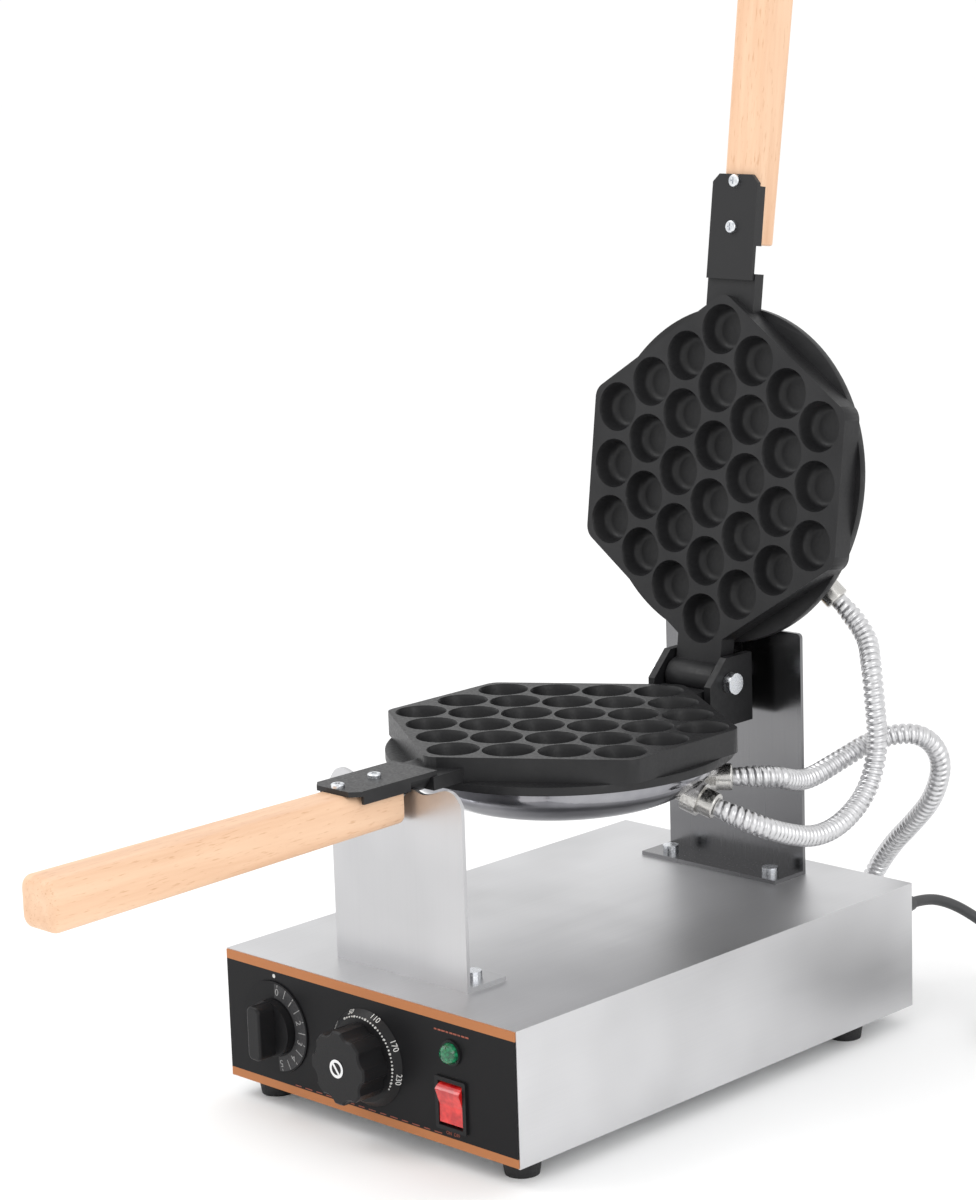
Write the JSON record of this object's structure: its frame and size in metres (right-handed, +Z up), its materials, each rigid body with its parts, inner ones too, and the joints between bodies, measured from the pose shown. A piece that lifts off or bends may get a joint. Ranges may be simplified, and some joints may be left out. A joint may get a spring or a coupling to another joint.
{
  "type": "rotating double waffle maker",
  "caption": "Bubble waffle iron: two hinged round pans with hexagonal cup plates turn on a long axis above a stainless control box; wooden handles, dials, lamp, switch and ribbed conduits.",
  "frame": {"origin": "middle of the machine's footprint, with the lid open as in the picture, on the surface that the rubber feet stand on", "axes": "+Z up, -Y towards the front panel and the lower handle, +X to the right as seen from the front"},
  "size_m": [0.447, 0.6903, 0.7381],
  "materials": {
    "stainless_sheet": "fine brushed",
    "galvanised_sheet": "galvanised",
    "panel_black": "satin black with copper-coloured edge strips",
    "foot_rubber": "matt",
    "zinc_steel": "bright zinc",
    "bush_brass": "turned",
    "control_black": "moulded",
    "dial_black": "satin with grey scale",
    "knob_black": "moulded phenolic",
    "cap_chrome": "polished",
    "lamp_green": "translucent green",
    "rocker_red": "translucent red",
    "terminal_ceramic": "glazed",
    "gland_nickel": "nickel plated",
    "conduit_steel": "bright stainless",
    "cord_pvc": "satin PVC",
    "nonstick_casting": "black non-stick coating on cast aluminium",
    "bowl_stainless": "polished",
    "heater_steel": "heat-tinted sheath",
    "strap_black": "black textured paint on steel",
    "beech_wood": "light beech, fine sanded",
    "bracket_black": "black coated",
    "shaft_steel": "turned"
  },
  "bodies": {
    "base": {"base_cover": "stainless_sheet", "front_plate": "galvanised_sheet", "front_panel": "panel_black", "rear_panel": "stainless_sheet", "bottom_plate": "galvanised_sheet", "rubber_feet": "foot_rubber", "foot_screws": "zinc_steel", "front_cradle": "stainless_sheet", "cradle_bolts": "zinc_steel", "rear_upright": "stainless_sheet", "upright_bolts": "zinc_steel", "bearing_bush": "bush_brass", "timer_body": "control_black", "timer_dial": "dial_black", "thermostat_body": "control_black", "lamp_body": "control_black", "lamp_lens": "lamp_green", "switch_body": "control_black", "terminal_block": "terminal_ceramic", "base_gland": "gland_nickel", "base_hose": "conduit_steel", "strain_relief": "cord_pvc", "mains_cord": "cord_pvc", "mains_coil": "cord_pvc", "mains_plug": "cord_pvc"},
    "pan_carriage": {"lower_plate": "nonstick_casting", "lower_dome": "bowl_stainless", "lower_gland": "gland_nickel", "lower_heater": "heater_steel", "lower_dome_stud": "zinc_steel", "lower_strap": "strap_black", "lower_handle": "beech_wood", "lower_handle_screws": "zinc_steel", "hinge_bracket": "bracket_black", "hinge_bracket_screws": "zinc_steel", "hinge_bolt": "zinc_steel", "hinge_nut": "zinc_steel", "turning_shaft": "shaft_steel", "shaft_washer": "zinc_steel", "shaft_nut": "zinc_steel", "lid_hose": "conduit_steel"},
    "lid": {"upper_plate": "nonstick_casting", "upper_dome": "bowl_stainless", "upper_gland": "gland_nickel", "upper_heater": "heater_steel", "upper_dome_stud": "zinc_steel", "upper_strap": "strap_black", "upper_handle": "beech_wood", "upper_handle_screws": "zinc_steel"},
    "timer_control": {"timer_knob": "knob_black"},
    "thermostat_control": {"thermostat_knob": "knob_black", "thermostat_cap": "cap_chrome"},
    "power_rocker": {"rocker": "rocker_red"}
  },
  "joints": [
    {"name": "pan_turn", "type": "hinge", "parent": "base", "child": "pan_carriage", "pos_m": [0, 0, 0.2174], "axis": [0, 1, 0], "range_deg": [-9, 9], "deforming": ["base_hose"]},
    {"name": "lid_hinge", "type": "hinge", "parent": "pan_carriage", "child": "lid", "pos_m": [0, 0.20894, 0.219], "axis": [1, 0, 0], "range_deg": [0, 97.8], "deforming": ["lid_hose"]},
    {"name": "timer_turn", "type": "hinge", "parent": "base", "child": "timer_control", "pos_m": [-0.0775, -0.09806, 0.052], "axis": [0, 1, 0], "range_deg": [0, 300]},
    {"name": "thermostat_turn", "type": "hinge", "parent": "base", "child": "thermostat_control", "pos_m": [0.001, -0.09806, 0.0505], "axis": [0, 1, 0], "range_deg": [0, 270]},
    {"name": "power_switch", "type": "hinge", "parent": "base", "child": "power_rocker", "pos_m": [0.069, -0.08386, 0.038], "axis": [1, 0, 0], "range_deg": [-18, 0]}
  ]
}
